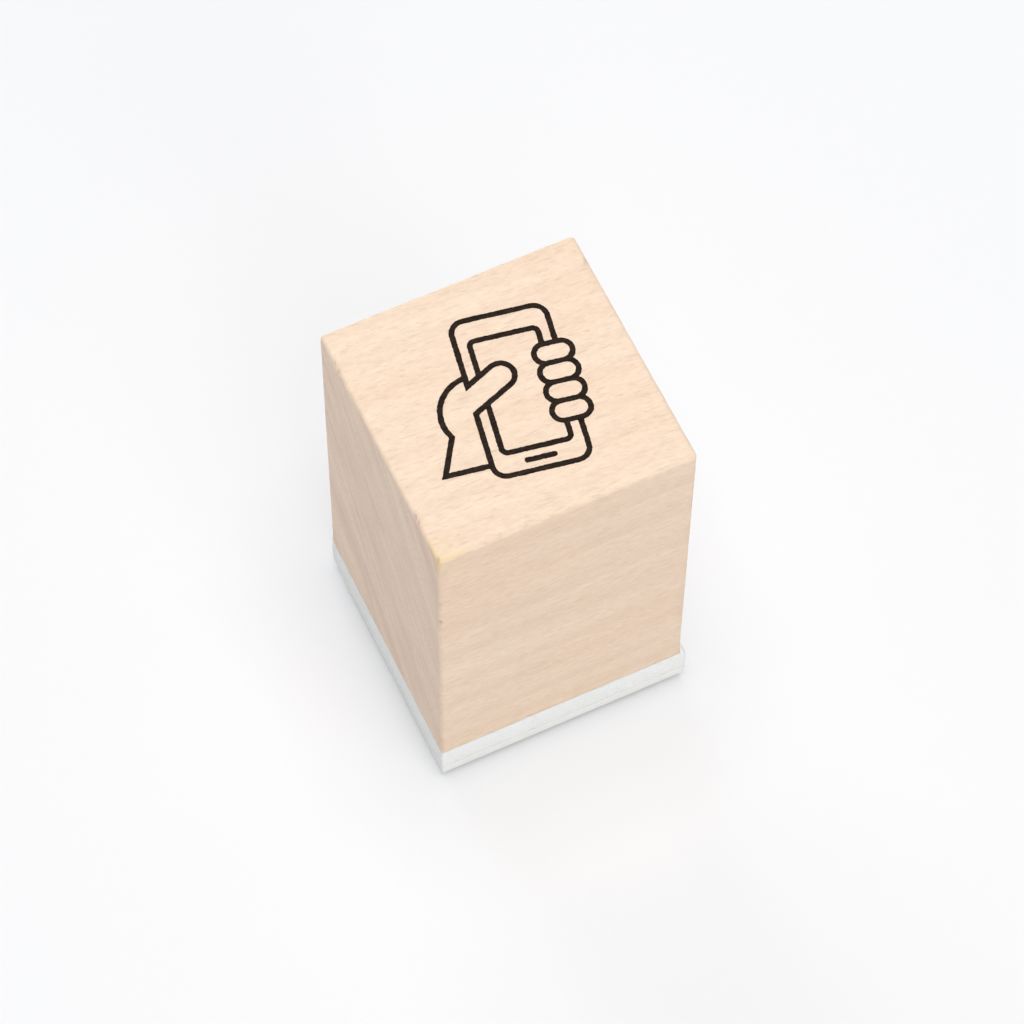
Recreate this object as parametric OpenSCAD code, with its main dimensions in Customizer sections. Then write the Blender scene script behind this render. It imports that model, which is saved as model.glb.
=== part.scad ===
// Wood-mounted rubber stamp, millimetres, Z up. A hardwood block stands on a foam cushion, and the
// cushion on a rubber die that carries a picture in relief. The same picture is printed on the
// block's top, to show what the stamp prints and which way up. The printing face is the plane z = 0,
// and the origin is the centre of the die. The front of the block faces -Y.

/* [Block] */
// Width of the wooden block, along X, the way its grain runs
block_w = 20; // [16:0.1:30]
// Depth of the wooden block, along Y
block_d = 20.2; // [16:0.1:30]
// Height of the wood alone
block_h = 30.5; // [20:0.5:50]
// Radius of the sanded edges
edge_r = 0.4; // [0.2:0.05:1]

/* [Cushion and die] */
// How far the cushion and the die stand out past the block on its +X side
overhang = 0.4; // [0:0.1:1]
// Thickness of the foam cushion
foam_t = 2.3; // [1.5:0.1:4]
// Thickness of each film of double-sided adhesive
film_t = 0.1; // [0.05:0.01:0.2]
// Thickness of the die's floor, the sheet that the relief stands on
floor_t = 1.1; // [0.6:0.1:1.5]
// Height of the relief, from the floor to the printing face
relief_h = 0.7; // [0.5:0.1:1.5]

/* [Picture] */
// Thickness of the ink film on top of the block
ink_t = 0.04; // [0.02:0.01:0.1]
// How far the ink has spread past the edges of the lines
ink_spread = 0.01; // [0.005:0.005:0.05]
// Width of every line in the picture
line_w = 0.4; // [0.3:0.01:0.6]
// Turn of the whole picture, in degrees
picture_turn = -10; // [-20:1:20]

/* [Hidden] */
// Levels of the layers, from the printing face up
floor_z = relief_h;
die_film_z = floor_z + floor_t;
foam_z = die_film_z + film_t;
block_film_z = foam_z + foam_t;
block_z = block_film_z + film_t;
top_z = block_z + block_h;

// The cushion, the films and the die share one outline, and the block is set back from its +X edge
sheet_w = block_w + overhang;
block_x = -overhang / 2;

// The picture's points lie in a square field of this size, centred on the block
picture_field = 20;
picture_scale = min(block_w, block_d) / picture_field;

// Plain pictogram of a hand that holds a telephone, made only of rounded bars and frames that lie in
// the telephone's own frame, whose origin is the telephone's centre
picture_at = [1, 0];
phone_w = 7;
phone_l = 13;
phone_r = 1;
screen_side = 1;
screen_end = 1.8;
screen_r = 0.4;
slot_l = 2;
// Four like fingers round the telephone's right side, one line apart
finger_count = 4;
finger_w = 1.6;
finger_l = 2.8;
finger_inside = 1;
// Thumb across the left side, palm behind the telephone and forearm, each from one centre to another
thumb = [[-4.5, -0.5], [-1, 1.5]];
thumb_w = 2;
palm = [[-3, -1], [-1, -2.5]];
palm_w = 6;
forearm = [[-3, -2], [-6, -9]];
forearm_w = 4.4;
// A plain cuff line ends the forearm at this level
cuff_y = -5.4;

$fn = 32;
// Room for one shape to run through another's face in a cut
past = 1;

// Rectangle with round corners
module eased_rect(w, d, r) {
    square([w - 2 * r, d], center = true);
    square([w, d - 2 * r], center = true);
    for (x = [-1, 1], y = [-1, 1])
        translate([x * (w / 2 - r), y * (d / 2 - r)]) circle(r = r);
}

// Bar with round ends, from one centre to the other
module bar(ends, w) {
    run = ends[1] - ends[0];
    for (end = ends) translate(end) circle(d = w);
    translate(ends[0]) rotate(atan2(run.y, run.x)) translate([0, -w / 2]) square([norm(run), w]);
}

// Each of these shapes is drawn twice to make a line along its edge: once grown by half the line's
// width and once shrunk by it
module phone_shape(grow) {
    eased_rect(phone_w + 2 * grow, phone_l + 2 * grow, phone_r + grow);
}

module screen_shape(grow) {
    eased_rect(phone_w - 2 * screen_side + 2 * grow, phone_l - 2 * screen_end + 2 * grow,
        screen_r + grow);
}

module finger_shapes(grow) {
    inner_end = phone_w / 2 - finger_inside;
    for (i = [0 : finger_count - 1]) {
        y = ((finger_count - 1) / 2 - i) * finger_w;
        bar([[inner_end, y], [inner_end + finger_l - finger_w, y]], finger_w + 2 * grow);
    }
}

module hand_shape(grow) {
    bar(thumb, thumb_w + 2 * grow);
    bar(palm, palm_w + 2 * grow);
    difference() {
        bar(forearm, forearm_w + 2 * grow);
        translate([-picture_field, cuff_y - grow - picture_field])
            square([2 * picture_field, picture_field]);
    }
}

// A hand that holds a telephone, as a plain pictogram whose lines are wider by spread on each side
module picture(spread) {
    half = line_w / 2 + spread;
    slot_y = -(phone_l - screen_end) / 2;
    scale(picture_scale) translate(picture_at) rotate(picture_turn) {
        // Telephone, where no finger or thumb covers it
        difference() {
            phone_shape(half);
            phone_shape(-half);
            bar(thumb, thumb_w);
            finger_shapes(0);
        }
        difference() {
            screen_shape(half);
            screen_shape(-half);
            bar(thumb, thumb_w);
            finger_shapes(0);
        }
        bar([[-slot_l / 2, slot_y], [slot_l / 2, slot_y]], 2 * half);
        // Fingers in front of it, the hand behind it, and the thumb over it
        difference() {
            finger_shapes(half);
            finger_shapes(-half);
        }
        difference() {
            hand_shape(half);
            hand_shape(-half);
            phone_shape(0);
        }
        difference() {
            intersection() {
                bar(thumb, thumb_w + 2 * half);
                phone_shape(half);
            }
            bar(thumb, thumb_w - 2 * half);
        }
    }
}

// One layer of the sandwich under the block, standing on level z
module layer(z, t) {
    translate([-sheet_w / 2, -block_d / 2, z]) cube([sheet_w, block_d, t]);
}

// Sawn hardwood with every edge eased: three extrusions of a rounded outline, one along each axis
module wood_block() {
    color([0.91, 0.79, 0.69])
    translate([block_x, 0, block_z + block_h / 2])
    intersection() {
        linear_extrude(block_h, center = true) eased_rect(block_w, block_d, edge_r);
        rotate([90, 0, 0])
            linear_extrude(block_d + past, center = true) eased_rect(block_w, block_h, edge_r);
        rotate([0, 90, 0])
            linear_extrude(block_w + past, center = true) eased_rect(block_h, block_d, edge_r);
    }
}

// Ink film on top of the block
module index_print() {
    color([0.14, 0.1, 0.08])
    translate([block_x, 0, top_z]) linear_extrude(ink_t) picture(ink_spread);
}

// Film that holds the cushion to the wood
module block_adhesive() {
    color([0.95, 0.95, 0.92]) layer(block_film_z, film_t);
}

module foam_cushion() {
    color([0.94, 0.95, 0.95]) layer(foam_z, foam_t);
}

// Film that holds the die to the cushion
module die_adhesive() {
    color([0.95, 0.95, 0.92]) layer(die_film_z, film_t);
}

// Moulded rubber: the relief stands down from the floor to the printing face. Seen from above,
// through the block, it lies right under the printed picture, so it prints that picture.
module rubber_die() {
    color([0.87, 0.87, 0.84]) {
        layer(floor_z, floor_t);
        translate([block_x, 0, 0]) linear_extrude(relief_h + floor_t / 2) picture(0);
    }
}

wood_block();
index_print();
block_adhesive();
foam_cushion();
die_adhesive();
rubber_die();
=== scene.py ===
import math

import bmesh
import bpy
import numpy as np
from mathutils import Matrix, Quaternion, Vector, noise


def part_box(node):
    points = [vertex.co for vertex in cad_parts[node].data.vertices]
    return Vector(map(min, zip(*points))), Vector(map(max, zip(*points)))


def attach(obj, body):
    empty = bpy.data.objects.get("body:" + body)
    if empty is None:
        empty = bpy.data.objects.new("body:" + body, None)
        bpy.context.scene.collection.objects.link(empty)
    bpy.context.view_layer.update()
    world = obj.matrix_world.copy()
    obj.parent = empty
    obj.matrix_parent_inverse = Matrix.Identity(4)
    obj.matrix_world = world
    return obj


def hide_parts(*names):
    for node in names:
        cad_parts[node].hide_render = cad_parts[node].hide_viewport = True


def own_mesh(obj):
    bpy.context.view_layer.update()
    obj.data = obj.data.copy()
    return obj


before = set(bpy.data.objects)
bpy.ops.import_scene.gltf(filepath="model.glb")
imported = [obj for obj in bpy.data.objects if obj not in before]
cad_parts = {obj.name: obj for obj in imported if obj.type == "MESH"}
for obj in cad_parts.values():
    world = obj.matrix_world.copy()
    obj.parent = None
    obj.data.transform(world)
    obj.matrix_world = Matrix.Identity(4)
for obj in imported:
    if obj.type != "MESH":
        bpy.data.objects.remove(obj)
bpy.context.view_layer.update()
MM = 0.001

# Camera: a long lens looks down on the block's front left corner from about a third of a metre,
# rolled a little to one side.
camera_at = Vector((-66.1, -136.9, 295.2)) * MM
camera_aim = Vector((0.12, -0.36, 18.02)) * MM
camera_roll = math.radians(0.72)
optics = bpy.data.cameras.new("camera")
optics.sensor_width = 36
optics.lens = 150.6
optics.clip_start = 0.01
camera = bpy.data.objects.new("camera", optics)
camera.location = camera_at
camera.rotation_mode = "QUATERNION"
level_view = (camera_aim - camera_at).to_track_quat("-Z", "Y")
camera.rotation_quaternion = level_view @ Quaternion((0, 0, 1), camera_roll)
bpy.context.scene.collection.objects.link(camera)
bpy.context.scene.camera = camera


# Wood block: one piece of pale beech, sawn to size with its fibres from left to right and sanded,
# so that every edge is eased a little unevenly. The cushion is stuck to its underside.
def add(tree, kind, inputs=None, **settings):
    """Adds a node. inputs maps a socket's name or number to a value or to another node's socket."""
    made = tree.nodes.new(kind)
    for name, value in settings.items():
        setattr(made, name, value)
    for key, value in (inputs or {}).items():
        if isinstance(value, bpy.types.NodeSocket):
            tree.links.new(value, made.inputs[key])
        else:
            made.inputs[key].default_value = value
    return made


def math_node(tree, operation, *values):
    """A Math node's result."""
    return add(tree, "ShaderNodeMath", dict(enumerate(values)), operation=operation).outputs[0]


def vector_node(tree, operation, *values):
    """A Vector Math node's result."""
    inputs = dict(enumerate(values))
    if operation == "SCALE":
        inputs = {0: values[0], "Scale": values[1]}
    made = add(tree, "ShaderNodeVectorMath", inputs, operation=operation)
    return made.outputs["Value" if operation in ("LENGTH", "DOT_PRODUCT") else "Vector"]


def ramp_node(tree, value, low, high, to_low=0.0, to_high=1.0):
    """Eases from to_low to to_high while value goes from low to high."""
    inputs = {"Value": value, 1: low, 2: high, 3: to_low, 4: to_high}
    return add(tree, "ShaderNodeMapRange", inputs, interpolation_type="SMOOTHSTEP").outputs[0]


def noise_node(tree, place, scale, detail=2.0, seed=0.0, roughness=0.5):
    """A Noise Texture's value, from 0 to 1, at that place."""
    inputs = {"Vector": place, "Scale": scale, "Detail": detail, "Roughness": roughness, "W": seed}
    return add(tree, "ShaderNodeTexNoise", inputs, noise_dimensions="4D").outputs[0]


def axis_part(tree, vector, axis):
    """One coordinate of a vector."""
    return add(tree, "ShaderNodeSeparateXYZ", {0: vector}).outputs[axis]


def cut_block_tree():
    """A block or sheet with eased edges, whose faces and edges wander as cut material does."""
    tree = bpy.data.node_groups.new("cut block", "GeometryNodeTree")
    sockets = tree.interface
    sockets.new_socket("Geometry", in_out="OUTPUT", socket_type="NodeSocketGeometry")
    kinds = {"Size": "Vector", "Centre": "Vector", "Along X": "Int", "Along Y": "Int",
             "Along Z": "Int", "Edge Radius": "Float", "Edge Wander": "Float", "Crisp Base": "Float",
             "Waviness": "Float", "Wave Length": "Float", "Chip Depth": "Float",
             "Cell Size": "Float", "Cell Depth": "Float", "Bulge": "Float",
             "Nick": "Vector", "Nick Depth": "Float", "Seed": "Float", "Finish": "Material"}
    for label, kind in kinds.items():
        sockets.new_socket(label, in_out="INPUT", socket_type="NodeSocket" + kind)
    given = add(tree, "NodeGroupInput").outputs
    cube = add(tree, "GeometryNodeMeshCube", {
        "Size": given["Size"], "Vertices X": given["Along X"],
        "Vertices Y": given["Along Y"], "Vertices Z": given["Along Z"]})
    place = add(tree, "GeometryNodeInputPosition").outputs[0]
    half = vector_node(tree, "SCALE", given["Size"], 0.5)

    # Every point is pushed out from an inner box to a radius that varies along the edges.
    wander = noise_node(tree, place, 900.0, 2.0, given["Seed"])
    wander = math_node(tree, "MULTIPLY", math_node(tree, "SUBTRACT", wander, 0.5), 2.0)
    share = math_node(tree, "MULTIPLY_ADD", wander, given["Edge Wander"], 1.0)
    level = math_node(tree, "DIVIDE", axis_part(tree, place, 2), axis_part(tree, half, 2))
    at_base = math_node(tree, "MULTIPLY", ramp_node(tree, level, -0.9, -1.0), given["Crisp Base"])
    share = math_node(tree, "MULTIPLY", share, math_node(tree, "SUBTRACT", 1.0, at_base))
    radius = math_node(tree, "MULTIPLY", given["Edge Radius"], share)
    inner = vector_node(tree, "SUBTRACT", half, radius)
    inside = vector_node(tree, "MINIMUM", vector_node(
        tree, "MAXIMUM", place, vector_node(tree, "SCALE", inner, -1.0)), inner)
    outward = vector_node(tree, "NORMALIZE", vector_node(tree, "SUBTRACT", place, inside))
    surface = vector_node(tree, "ADD", inside, vector_node(tree, "SCALE", outward, radius))

    # Long waves over the faces, and chips where the edges are.
    per_wave = math_node(tree, "DIVIDE", 1.0, given["Wave Length"])
    wave = math_node(tree, "SUBTRACT", noise_node(tree, place, per_wave, 1.0, given["Seed"]), 0.5)
    lift = math_node(tree, "MULTIPLY", wave, given["Waviness"])
    bent = vector_node(tree, "ABSOLUTE", outward)
    flattest = math_node(tree, "MAXIMUM", axis_part(tree, bent, 0), math_node(
        tree, "MAXIMUM", axis_part(tree, bent, 1), axis_part(tree, bent, 2)))
    on_edge = ramp_node(tree, flattest, 0.99, 0.8)
    chipped = ramp_node(tree, noise_node(tree, place, 1400.0, 1.0, given["Seed"]), 0.6, 0.72)
    chip = math_node(tree, "MULTIPLY", math_node(tree, "MULTIPLY", chipped, on_edge),
                     given["Chip Depth"])
    lift = math_node(tree, "SUBTRACT", lift, chip)

    # The four cut sides bulge, carry open cells, and may have one nick from the knife.
    side = ramp_node(tree, axis_part(tree, bent, 2), 0.7, 0.2)
    crown = math_node(tree, "SUBTRACT", 1.0, math_node(tree, "MULTIPLY", level, level))
    swell = math_node(tree, "MULTIPLY", crown, given["Bulge"])
    per_cell = math_node(tree, "DIVIDE", 1.0, given["Cell Size"])
    cells = add(tree, "ShaderNodeTexVoronoi", {"Vector": place, "Scale": per_cell})
    pit = math_node(tree, "MULTIPLY", ramp_node(tree, cells.outputs[0], 0.6, 0.15),
                    given["Cell Depth"])
    from_nick = vector_node(tree, "SUBTRACT", place, given["Nick"])
    flat_gap = vector_node(tree, "LENGTH", vector_node(tree, "MULTIPLY", from_nick, (1, 1, 0)))
    cut = math_node(tree, "MULTIPLY", ramp_node(tree, flat_gap, 0.00025, 0.0),
                    given["Nick Depth"])
    swell = math_node(tree, "SUBTRACT", swell, math_node(tree, "ADD", pit, cut))
    lift = math_node(tree, "MULTIPLY_ADD", swell, side, lift)

    # The marks are stored before the points move, because every value above reads the first place.
    marked = cube
    for label, value in (("edge", on_edge), ("chip", math_node(tree, "MULTIPLY", chipped, on_edge))):
        marked = add(tree, "GeometryNodeStoreNamedAttribute", {
            "Geometry": marked.outputs[0], "Name": label, "Value": value},
            data_type="FLOAT", domain="POINT")
    shaped = add(tree, "GeometryNodeSetPosition", {
        "Geometry": marked.outputs[0],
        "Position": vector_node(tree, "ADD", surface, vector_node(tree, "SCALE", outward, lift)),
        "Offset": given["Centre"]})
    soft = add(tree, "GeometryNodeSetShadeSmooth", {"Geometry": shaped.outputs[0]})
    real = add(tree, "GeometryNodeRealizeInstances", {"Geometry": soft.outputs[0]})
    painted = add(tree, "GeometryNodeSetMaterial", {
        "Geometry": real.outputs[0], "Material": given["Finish"]})
    add(tree, "NodeGroupOutput", {"Geometry": painted.outputs[0]})
    return tree


cut_block = cut_block_tree()


def shown(name, mesh):
    """A new piece that shows the mesh."""
    piece = bpy.data.objects.new(name, mesh)
    bpy.context.scene.collection.objects.link(piece)
    return piece


def cut_piece(name, low, high, spacing, values):
    """Runs the cut block tree over the box from low to high; returns the result as a plain piece."""
    size = high - low
    steps = [max(2, round(side / spacing)) + 1 for side in size]
    values = {"Size": size, "Centre": (low + high) / 2, "Along X": steps[0], "Along Y": steps[1],
              "Along Z": steps[2], "Wave Length": 12 * MM, "Cell Size": MM, **values}
    source = shown(name + "_source", bpy.data.meshes.new(name + "_source"))
    modifier = source.modifiers.new("cut", "NODES")
    modifier.node_group = cut_block
    for item in cut_block.interface.items_tree:
        if item.in_out == "INPUT" and item.name in values:
            modifier[item.identifier] = values[item.name]
    evaluated = source.evaluated_get(bpy.context.evaluated_depsgraph_get())
    piece = shown(name, bpy.data.meshes.new_from_object(evaluated))
    bpy.data.objects.remove(source)
    return piece


def new_finish(name, **surface):
    """A material with one Principled shader, whose constants are set on its own sockets."""
    material = bpy.data.materials.new(name)
    material.use_nodes = True
    shader = material.node_tree.nodes["Principled BSDF"]
    for label, value in surface.items():
        shader.inputs[label.replace("_", " ")].default_value = value
    return material, material.node_tree, shader


def place_mm(tree, stretch=(1, 1, 1), turn=(0, 0, 0)):
    """The point's own place in millimetres, turned and then stretched."""
    spot = add(tree, "ShaderNodeTexCoord").outputs["Object"]
    inputs = {"Vector": spot, "Rotation": turn, "Scale": [MM / share for share in stretch]}
    return add(tree, "ShaderNodeMapping", inputs, vector_type="TEXTURE").outputs[0]


def blend(tree, share, one, other):
    """Mixes two colours."""
    inputs = {0: share, 6: one, 7: other}
    return add(tree, "ShaderNodeMix", inputs, data_type="RGBA", blend_type="MIX").outputs[2]


def bump(tree, shader, height, depth):
    """Adds a bump of that depth, in metres, on top of any that the shader has."""
    inputs = {"Height": height, "Distance": depth, "Strength": 1.0}
    below = shader.inputs["Normal"].links
    if below:
        inputs["Normal"] = below[0].from_socket
    tree.links.new(add(tree, "ShaderNodeBump", inputs).outputs[0], shader.inputs["Normal"])


def beech_finish(corner):
    """Pale beech: growth rings, fibres, pores and short ray flecks that all run along X. The
    corner, in metres, is the one that carries a stain."""
    material, tree, shader = new_finish(
        "pale_beech", Roughness=0.62, Specular_IOR_Level=0.25)
    grain_turn = (0, math.radians(1.5), math.radians(-1))
    spot = place_mm(tree)

    # Growth rings are arcs round a pith that lies far outside the block, bent by a slow wander.
    pith = (0, -62, 60)
    rings_per_mm = 0.42
    from_pith = vector_node(tree, "MULTIPLY", vector_node(tree, "SUBTRACT", spot, pith), (0, 1, 1))
    wander = noise_node(tree, place_mm(tree, (0.012, 0.09, 0.09)), 1.0, 2.0, 3.0)
    depth = math_node(tree, "MULTIPLY_ADD", wander, 5.0, vector_node(tree, "LENGTH", from_pith))
    ring = math_node(tree, "FRACT", math_node(tree, "MULTIPLY", depth, rings_per_mm))
    late = math_node(tree, "MULTIPLY", ramp_node(tree, ring, 0.2, 0.75),
                     ramp_node(tree, ring, 1.0, 0.82))

    fibres = noise_node(tree, place_mm(tree, (0.9, 6.0, 6.0), grain_turn), 1.0, 4.0, 1.0)
    streaks = noise_node(tree, place_mm(tree, (0.16, 2.1, 2.1), grain_turn), 1.0, 3.0, 12.0)
    patches = noise_node(tree, place_mm(tree, (0.05, 0.2, 0.2)), 1.0, 2.0, 5.0)
    flecks = add(tree, "ShaderNodeTexVoronoi", {
        "Vector": place_mm(tree, (0.6, 3.9, 3.9), grain_turn), "Scale": 1.0, "Randomness": 1.0})
    picked = axis_part(tree, flecks.outputs["Color"], 0)
    fleck = math_node(tree, "MULTIPLY", ramp_node(tree, flecks.outputs[0], 0.34, 0.14),
                      ramp_node(tree, picked, 0.3, 0.6))
    pores = noise_node(tree, place_mm(tree, (0.9, 11, 11), grain_turn), 1.0, 2.0, 9.0)
    pore = ramp_node(tree, pores, 0.58, 0.72)

    colour = blend(tree, late, (0.935, 0.755, 0.597, 1), (0.89, 0.705, 0.552, 1))
    colour = blend(tree, ramp_node(tree, patches, 0.35, 0.65, 0.0, 0.6), colour,
                   (0.905, 0.685, 0.518, 1))
    colour = blend(tree, ramp_node(tree, streaks, 0.42, 0.72, 0.0, 0.22), colour,
                   (0.77, 0.585, 0.45, 1))
    colour = blend(tree, ramp_node(tree, fibres, 0.35, 0.75, 0.0, 0.34), colour,
                   (0.75, 0.56, 0.43, 1))
    mottle = noise_node(tree, place_mm(tree, (1.6, 3.2, 3.2), grain_turn), 1.0, 3.0, 19.0, 0.65)
    colour = blend(tree, ramp_node(tree, mottle, 0.42, 0.68, 0.0, 0.15), colour,
                   (0.70, 0.50, 0.37, 1))
    colour = blend(tree, ramp_node(tree, mottle, 0.52, 0.30, 0.0, 0.15), colour,
                   (1.0, 0.86, 0.71, 1))
    colour = blend(tree, math_node(tree, "MULTIPLY", fleck, 0.06), colour, (0.60, 0.42, 0.30, 1))
    colour = blend(tree, math_node(tree, "MULTIPLY", pore, 0.14), colour, (0.60, 0.44, 0.33, 1))

    # The two end faces, where the fibres are cut across, are greyer. Soft marks of the saw run
    # along the rings there, from the upper back to the lower front. Each mark has its pattern, the
    # range of the pattern that shows, its most and its tone.
    facing = add(tree, "ShaderNodeTexCoord").outputs["Normal"]
    end_face = ramp_node(tree, axis_part(tree, vector_node(tree, "ABSOLUTE", facing), 0), 0.6, 0.95)
    along_rings = (math.radians(50), 0, 0)
    bend = noise_node(tree, spot, 0.16, 1.0, 17.0)
    broad = noise_node(tree, place_mm(tree, (0.1, 0.045, 0.5), along_rings), 1.0, 4.0, 7.0,
                       roughness=0.62)
    narrow = noise_node(tree, place_mm(tree, (0.3, 0.12, 1.15), along_rings), 1.0, 5.0, 8.0,
                        roughness=0.7)
    speckle = noise_node(tree, spot, 5.5, 3.0, 15.0)
    marks = ((broad, 0.40, 0.62, 0.52, (0.79, 0.575, 0.485, 1)),
             (narrow, 0.42, 0.66, 0.34, (0.70, 0.555, 0.46, 1)),
             (bend, 0.45, 0.62, 0.34, (1.0, 0.80, 0.64, 1)),
             (speckle, 0.45, 0.70, 0.36, (0.70, 0.54, 0.44, 1)))
    colour = blend(tree, math_node(tree, "MULTIPLY", end_face, 0.5), colour, (1.0, 0.805, 0.64, 1))
    for pattern, low, high, most, tone in marks:
        share = math_node(tree, "MULTIPLY", end_face, ramp_node(tree, pattern, low, high, 0.0, most))
        colour = blend(tree, share, colour, tone)

    # Sanding has burnished the edges, the wood is darker and warmer towards its foot, and a little
    # yellow stain lies on one upper corner. Chipped spots on the edges are darker.
    edge = add(tree, "ShaderNodeAttribute", attribute_name="edge").outputs["Fac"]
    cloud = noise_node(tree, spot, 0.6, 2.0, 7.0)
    burnished = math_node(tree, "MULTIPLY", edge, ramp_node(tree, cloud, 0.35, 0.65, 0.0, 0.28))
    colour = blend(tree, burnished, colour, (0.83, 0.62, 0.40, 1))
    # The wood is made darker and warmer towards its foot.
    foot, darker_up_to = 4.3, 8.0
    darker_near_foot = ramp_node(tree, axis_part(tree, spot, 2), darker_up_to, foot)
    darker_near_foot = math_node(tree, "MULTIPLY", darker_near_foot, ramp_node(tree, cloud, 0.3, 0.7, 0.05, 0.4))
    colour = blend(tree, darker_near_foot, colour, (0.86, 0.62, 0.42, 1))
    off_corner = vector_node(tree, "LENGTH", vector_node(
        tree, "SUBTRACT", spot, tuple(corner / MM)))
    stained = math_node(tree, "MULTIPLY", ramp_node(tree, off_corner, 3.2, 0.2, 0.0, 0.8),
                        ramp_node(tree, edge, 0.0, 0.7, 0.25, 1.0))
    colour = blend(tree, stained, colour, (0.90, 0.68, 0.34, 1))
    # Chipped spots on the edges are made darker.
    chip = add(tree, "ShaderNodeAttribute", attribute_name="chip").outputs["Fac"]
    colour = blend(tree, math_node(tree, "MULTIPLY", chip, 0.55), colour, (0.50, 0.38, 0.30, 1))
    tree.links.new(colour, shader.inputs["Base Color"])

    bump(tree, shader, fibres, 0.02 * MM)
    bump(tree, shader, math_node(tree, "ADD", fleck, pore), -0.02 * MM)
    return material


block_low, block_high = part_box("wood_block")
block = cut_piece("wood_block_sanded", block_low, block_high, 0.25 * MM, {
    "Edge Radius": 0.32 * MM, "Edge Wander": 0.5, "Waviness": 0.04 * MM, "Chip Depth": 0.16 * MM,
    "Crisp Base": 0.75, "Seed": 4.0,
    "Finish": beech_finish(Vector((block_low.x, block_low.y, block_high.z)))})
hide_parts("wood_block")
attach(block, "block")


# Index print: a film of near-black ink, stamped or screened on the wood's top, that shows what the
# die prints. It has soaked into the wood, so its edges are a little ragged and it lets wood through.
def outlines(node, level):
    """The closed outlines, in millimetres, of a CAD node's flat faces at that height."""
    shape = bmesh.new()
    shape.from_mesh(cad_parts[node].data)
    bmesh.ops.remove_doubles(shape, verts=shape.verts, dist=1e-7)
    flat = [face for face in shape.faces if all(abs(v.co.z - level) < 1e-6 for v in face.verts)]
    runs = [(loop.vert.index, loop.link_loop_next.vert.index) for face in flat
            for loop in face.loops]
    inner = set(runs)
    following = {a: b for a, b in runs if (b, a) not in inner}
    shape.verts.ensure_lookup_table()
    loops = []
    while following:
        start, here = following.popitem()
        loop = [start]
        while here != start:
            loop.append(here)
            here = following.pop(here)
        loops.append(np.array([shape.verts[i].co.xy / MM for i in loop]))
    shape.free()
    return loops


def evenly(loop, step):
    """The same outline with its points a step apart."""
    closed = np.vstack([loop, loop[:1]])
    run = np.concatenate([[0], np.cumsum(np.linalg.norm(np.diff(closed, axis=0), axis=1))])
    count = max(12, round(run[-1] / step))
    marks = np.arange(count) * run[-1] / count
    return np.stack([np.interp(marks, run, closed[:, axis]) for axis in (0, 1)], axis=1)


def ragged(loop, depths):
    """The outline with its points moved in and out by noise; depths maps a wave length to a depth."""
    ahead, behind = np.roll(loop, -1, axis=0), np.roll(loop, 1, axis=0)
    run = ahead - behind
    outward = np.stack([run[:, 1], -run[:, 0]], axis=1)
    outward /= np.maximum(np.linalg.norm(outward, axis=1, keepdims=True), 1e-9)
    moved = np.array([
        sum(deep * noise.noise(Vector((x / wave, y / wave, wave))) for wave, deep in depths.items())
        for x, y in loop])
    return (ahead + behind + 2 * loop) / 4 + outward * moved[:, None]


def ink_finish():
    """Matt brown-black ink, thinner in places along the wood's fibres."""
    material, tree, shader = new_finish("print_ink", Roughness=0.7, Specular_IOR_Level=0.1)
    thin = noise_node(tree, place_mm(tree, (1.2, 5, 5)), 1.0, 3.0, 2.0)
    bare = noise_node(tree, place_mm(tree, (2.5, 9, 9)), 1.0, 1.0, 6.0)
    colour = blend(tree, ramp_node(tree, thin, 0.35, 0.7), (0.013, 0.008, 0.006, 1),
                   (0.035, 0.021, 0.014, 1))
    colour = blend(tree, ramp_node(tree, bare, 0.70, 0.85, 0.0, 0.35), colour, (0.16, 0.10, 0.07, 1))
    tree.links.new(colour, shader.inputs["Base Color"])
    bump(tree, shader, thin, 0.01 * MM)
    return material


print_low, print_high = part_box("index_print")
soaked = 0.05 * MM
raised = 0.5 * (print_high.z - print_low.z)
flat_print = bpy.data.curves.new("index_print_lines", "CURVE")
flat_print.dimensions = "2D"
flat_print.fill_mode = "BOTH"
flat_print.extrude = (raised + soaked) / 2 / MM
for outline in outlines("index_print", print_high.z):
    points = ragged(evenly(outline, 0.05), {0.5: 0.02, 0.17: 0.03})
    spline = flat_print.splines.new("POLY")
    spline.points.add(len(points) - 1)
    for point, (x, y) in zip(spline.points, points):
        point.co = (x, y, 0, 1)
    spline.use_cyclic_u = True
flat_source = shown("index_print_source", flat_print)
evaluated = flat_source.evaluated_get(bpy.context.evaluated_depsgraph_get())
print_mesh = bpy.data.meshes.new_from_object(evaluated)
bpy.data.objects.remove(flat_source)
print_mesh.transform(Matrix.Scale(MM, 4))
print_mesh.transform(Matrix.Translation((0, 0, print_low.z + (raised - soaked) / 2)))
print_mesh.materials.append(ink_finish())
index_print = shown("index_print_lines", print_mesh)
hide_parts("index_print")
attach(index_print, "block")


# Adhesive films: two sheets of clear double-sided tape, cut through together with the layers that
# they hold. The upper one holds the cushion to the wood and the lower one the die to the cushion.
def tape_finish():
    """Slightly yellow, half clear film with a soft gloss."""
    material, tree, shader = new_finish(
        "adhesive_film", Roughness=0.4, Specular_IOR_Level=0.4)
    cloud = noise_node(tree, place_mm(tree), 1.5, 2.0, 1.0)
    colour = blend(tree, cloud, (0.92, 0.925, 0.90, 1), (0.87, 0.875, 0.845, 1))
    tree.links.new(colour, shader.inputs["Base Color"])
    bump(tree, shader, cloud, 0.01 * MM)
    return material


tape = tape_finish()
for node, body, seed in (("block_adhesive", "block", 11.0), ("die_adhesive", "die", 12.0)):
    film = cut_piece(node + "_tape", *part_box(node), 0.3 * MM, {
        "Edge Radius": 0.03 * MM, "Waviness": 0.0, "Seed": seed, "Finish": tape})
    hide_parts(node)
    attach(film, body)


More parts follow.
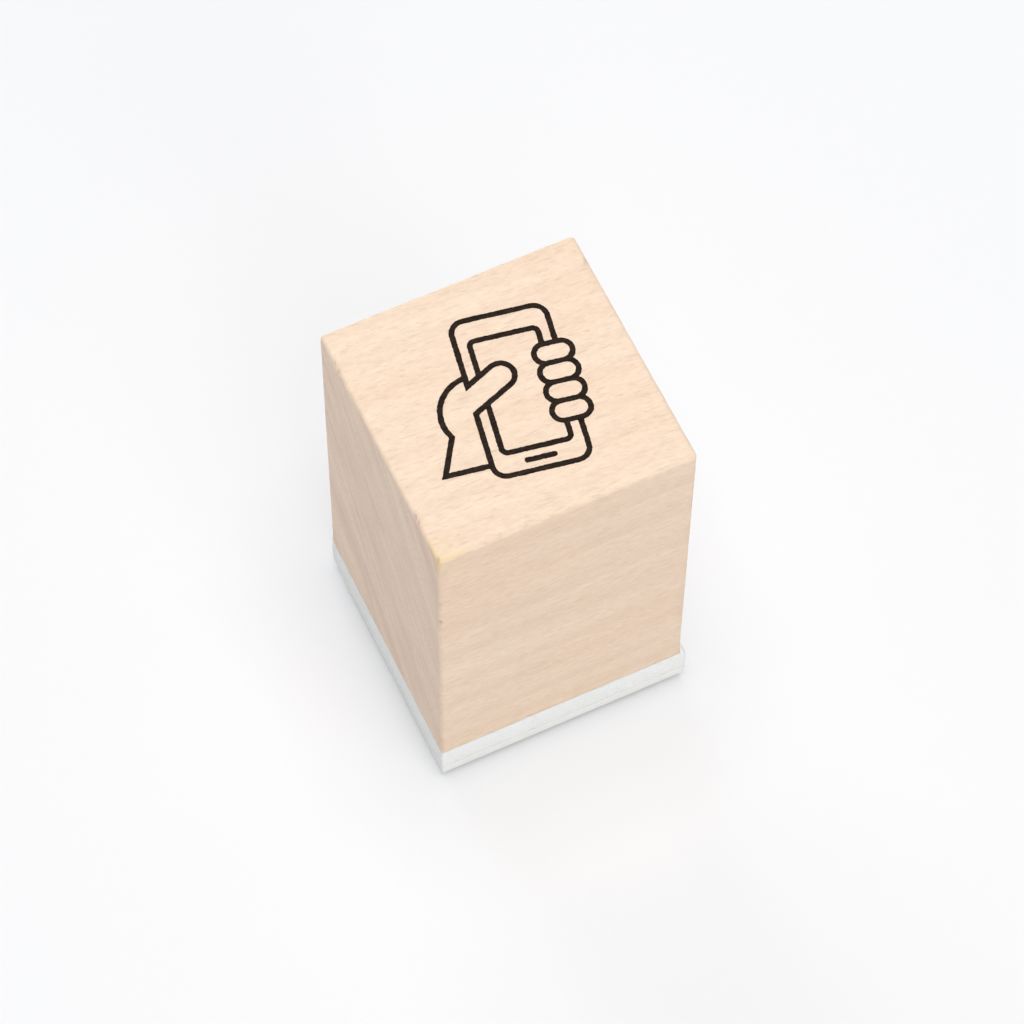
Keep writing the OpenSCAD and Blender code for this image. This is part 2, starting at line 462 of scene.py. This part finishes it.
# Foam cushion: a sheet of soft white closed-cell foam, die-cut with the rubber, so its sides show
# cut cells and swell a little. It gives under the hand and lets the die print evenly.
def foam_finish():
    """White foam: a fine net of cell walls with small shaded cells between them."""
    material, tree, shader = new_finish(
        "cushion_foam", Roughness=0.8, Specular_IOR_Level=0.2, Subsurface_Weight=0.15)
    shader.inputs["Subsurface Radius"].default_value = (0.4 * MM, 0.4 * MM, 0.4 * MM)
    cells = add(tree, "ShaderNodeTexVoronoi", {"Vector": place_mm(tree), "Scale": 7.0})
    open_cell = ramp_node(tree, cells.outputs[0], 0.55, 0.1)
    cloud = noise_node(tree, place_mm(tree), 0.4, 2.0, 4.0)
    colour = blend(tree, cloud, (0.965, 0.975, 0.975, 1), (0.94, 0.955, 0.96, 1))
    colour = blend(tree, math_node(tree, "MULTIPLY", open_cell, 0.14), colour,
                   (0.74, 0.76, 0.76, 1))
    tree.links.new(colour, shader.inputs["Base Color"])
    bump(tree, shader, open_cell, -0.03 * MM)
    return material


foam_low, foam_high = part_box("foam_cushion")
foam_middle = (foam_low + foam_high) / 2
nick_x = -2.5 * MM
foam = cut_piece("foam_cushion_cut", foam_low, foam_high, 0.16 * MM, {
    "Edge Radius": 0.05 * MM, "Edge Wander": 0.4, "Waviness": 0.08 * MM, "Wave Length": 6 * MM,
    "Cell Size": 0.35 * MM, "Cell Depth": 0.035 * MM, "Bulge": 0.05 * MM,
    "Nick": (nick_x, foam_low.y - foam_middle.y, 0), "Nick Depth": 0.12 * MM,
    "Seed": 21.0, "Finish": foam_finish()})
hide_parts("foam_cushion")
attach(foam, "die")
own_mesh(foam)


# Rubber die: one sheet of off-white rubber, moulded with the picture standing out of it in relief.
# The lines have sloped shoulders, and the sheet is cut to the cushion's outline and stuck under it.
def rubber_finish():
    """Off-white rubber with a fine mould grain."""
    material, tree, shader = new_finish("die_rubber", Roughness=0.5, Specular_IOR_Level=0.4)
    cloud = noise_node(tree, place_mm(tree), 0.6, 2.0, 8.0)
    grain = noise_node(tree, place_mm(tree), 12.0, 2.0, 3.0)
    colour = blend(tree, cloud, (0.93, 0.935, 0.915, 1), (0.885, 0.89, 0.865, 1))
    tree.links.new(colour, shader.inputs["Base Color"])
    bump(tree, shader, grain, 0.012 * MM)
    return material


def distance_outside(points, loops):
    """How far each point lies outside the outlines, 0 inside them, all in millimetres."""
    starts = np.vstack(loops)
    ends = np.vstack([np.roll(loop, -1, axis=0) for loop in loops])
    run = ends - starts
    squared = (run ** 2).sum(axis=1)
    found = []
    for some in np.array_split(points, len(points) // 2000 + 1):
        offset = some[:, None] - starts
        along = np.clip((offset * run).sum(axis=2) / squared, 0, 1)
        near = np.linalg.norm(offset - along[..., None] * run, axis=2).min(axis=1)
        above = starts[:, 1] > some[:, 1:]
        crossing = above != (ends[:, 1] > some[:, 1:])
        rise = np.where(run[:, 1] == 0, 1, run[:, 1])
        cross_x = starts[:, 0] + (some[:, 1:] - starts[:, 1]) / rise * run[:, 0]
        inside = (crossing & (some[:, :1] < cross_x)).sum(axis=1) % 2 == 1
        found.append(np.where(inside, 0, near))
    return np.concatenate(found)


die_low, die_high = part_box("rubber_die")
# The CAD die has three levels: the printing face, the floor's underside and the floor's top.
levels = sorted({round(v.co.z / MM, 3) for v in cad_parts["rubber_die"].data.vertices})
floor_z = levels[1] * MM
die = cut_piece("rubber_die_moulded", die_low, die_high, 0.13 * MM, {
    "Edge Radius": 0.035 * MM, "Edge Wander": 0.3, "Waviness": 0.0, "Seed": 31.0,
    "Finish": rubber_finish()})
# The underside falls from the floor to the printing face over a shoulder, in millimetres, round
# every line.
shoulder = 0.45
shoulder_curve = 2.5
spots = np.array([v.co for v in die.data.vertices])
gap = distance_outside(spots[:, :2] / MM, outlines("rubber_die", die_low.z))
slope = 1 - (1 - np.clip(gap / shoulder, 0, 1)) ** shoulder_curve
under = floor_z * slope
spots[:, 2] = under + spots[:, 2] / die_high.z * (die_high.z - under)
# The knife leaves the floor's sides hollow, so they draw in towards the printing side.
undercut = 0.07 * MM
rim = 0.8 * MM
middle = np.array(((die_low + die_high) / 2).xy)
half_size = np.array(((die_high - die_low) / 2).xy)
low_share = np.clip((die_high.z - spots[:, 2]) / (die_high.z - floor_z), 0, 1)
on_rim = np.clip((np.abs(spots[:, :2] - middle) - half_size + rim) / rim, 0, 1)
spots[:, :2] -= np.sign(spots[:, :2] - middle) * on_rim * undercut * (low_share ** 2)[:, None]
die.data.vertices.foreach_set("co", spots.ravel())
die.data.update()
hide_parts("rubber_die")
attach(die, "die")


# Studio: a plain white table that glows faintly, so that the shadow is as weak as on a lit product
# table, four large softboxes and a pale room. The glow is held back close to the stamp, and it
# grows far from the middle, where the softboxes don't reach.
table_mesh = bpy.data.meshes.new("table")
reach = 12.0
table_mesh.from_pydata([(-reach, -reach, 0), (reach, -reach, 0), (reach, reach, 0),
                        (-reach, reach, 0)], [], [(0, 1, 2, 3)])
table_finish, table_tree, table_shader = new_finish(
    "white_table", Roughness=0.9, Specular_IOR_Level=0.0, Base_Color=(0.695, 0.702, 0.716, 1),
    Emission_Color=(0.99, 0.99, 1.0, 1))
near_glow, far_glow = 0.195, 0.8
glow_grows_from, glow_grows_to = 0.15, 1.6
held_back_within, held_back_share = 1.6 * MM, 0.55
from_middle = vector_node(table_tree, "LENGTH", add(
    table_tree, "ShaderNodeTexCoord").outputs["Object"])
glow = ramp_node(table_tree, from_middle, glow_grows_from, glow_grows_to, near_glow, far_glow)
open_above = add(table_tree, "ShaderNodeAmbientOcclusion", {"Distance": held_back_within}, samples=3)
kept_share = math_node(table_tree, "MULTIPLY_ADD", open_above.outputs["AO"], held_back_share,
                       1 - held_back_share)
glow = math_node(table_tree, "MULTIPLY", glow, kept_share)
table_tree.links.new(glow, table_shader.inputs["Emission Strength"])
table_mesh.materials.append(table_finish)
shown("table", table_mesh)

# Each softbox has its side, in degrees round from the front, its tilt from overhead and its power.
softbox_distance, softbox_width = 1.2, 0.8
for name, side, tilt, power, colour in (
        ("overhead_softbox", 0, 0, 7.68, (1, 1, 1)),
        ("front_top_softbox", 0, 25, 3.22, (1, 0.98, 0.95)),
        ("front_low_softbox", 0, 72, 2.72, (1, 0.97, 0.92)),
        ("back_low_softbox", 180, 72, 4.66, (1, 1, 1))):
    lamp = bpy.data.lights.new(name, "AREA")
    lamp.shape = "DISK"
    lamp.size = softbox_width
    lamp.energy = power
    lamp.color = colour
    round_by, tilt_by = math.radians(side), math.radians(tilt)
    toward = Vector((math.sin(round_by) * math.sin(tilt_by),
                     -math.cos(round_by) * math.sin(tilt_by), math.cos(tilt_by)))
    softbox = bpy.data.objects.new(name, lamp)
    softbox.location = toward * softbox_distance
    softbox.rotation_euler = toward.to_track_quat("Z", "Y").to_euler()
    bpy.context.scene.collection.objects.link(softbox)

# The room is bright where it is seen behind the stamp, and dimmer as a light.
room = bpy.data.worlds.new("room")
room.use_nodes = True
background = room.node_tree.nodes["Background"]
background.inputs["Color"].default_value = (0.98, 0.99, 1.0, 1)
room_light, room_seen = 0.284, 1.0
is_seen = add(room.node_tree, "ShaderNodeLightPath").outputs["Is Camera Ray"]
shown_strength = math_node(room.node_tree, "MULTIPLY_ADD", is_seen, room_seen - room_light, room_light)
room.node_tree.links.new(shown_strength, background.inputs["Strength"])
bpy.context.scene.world = room
bpy.context.scene.view_settings.view_transform = "Standard"
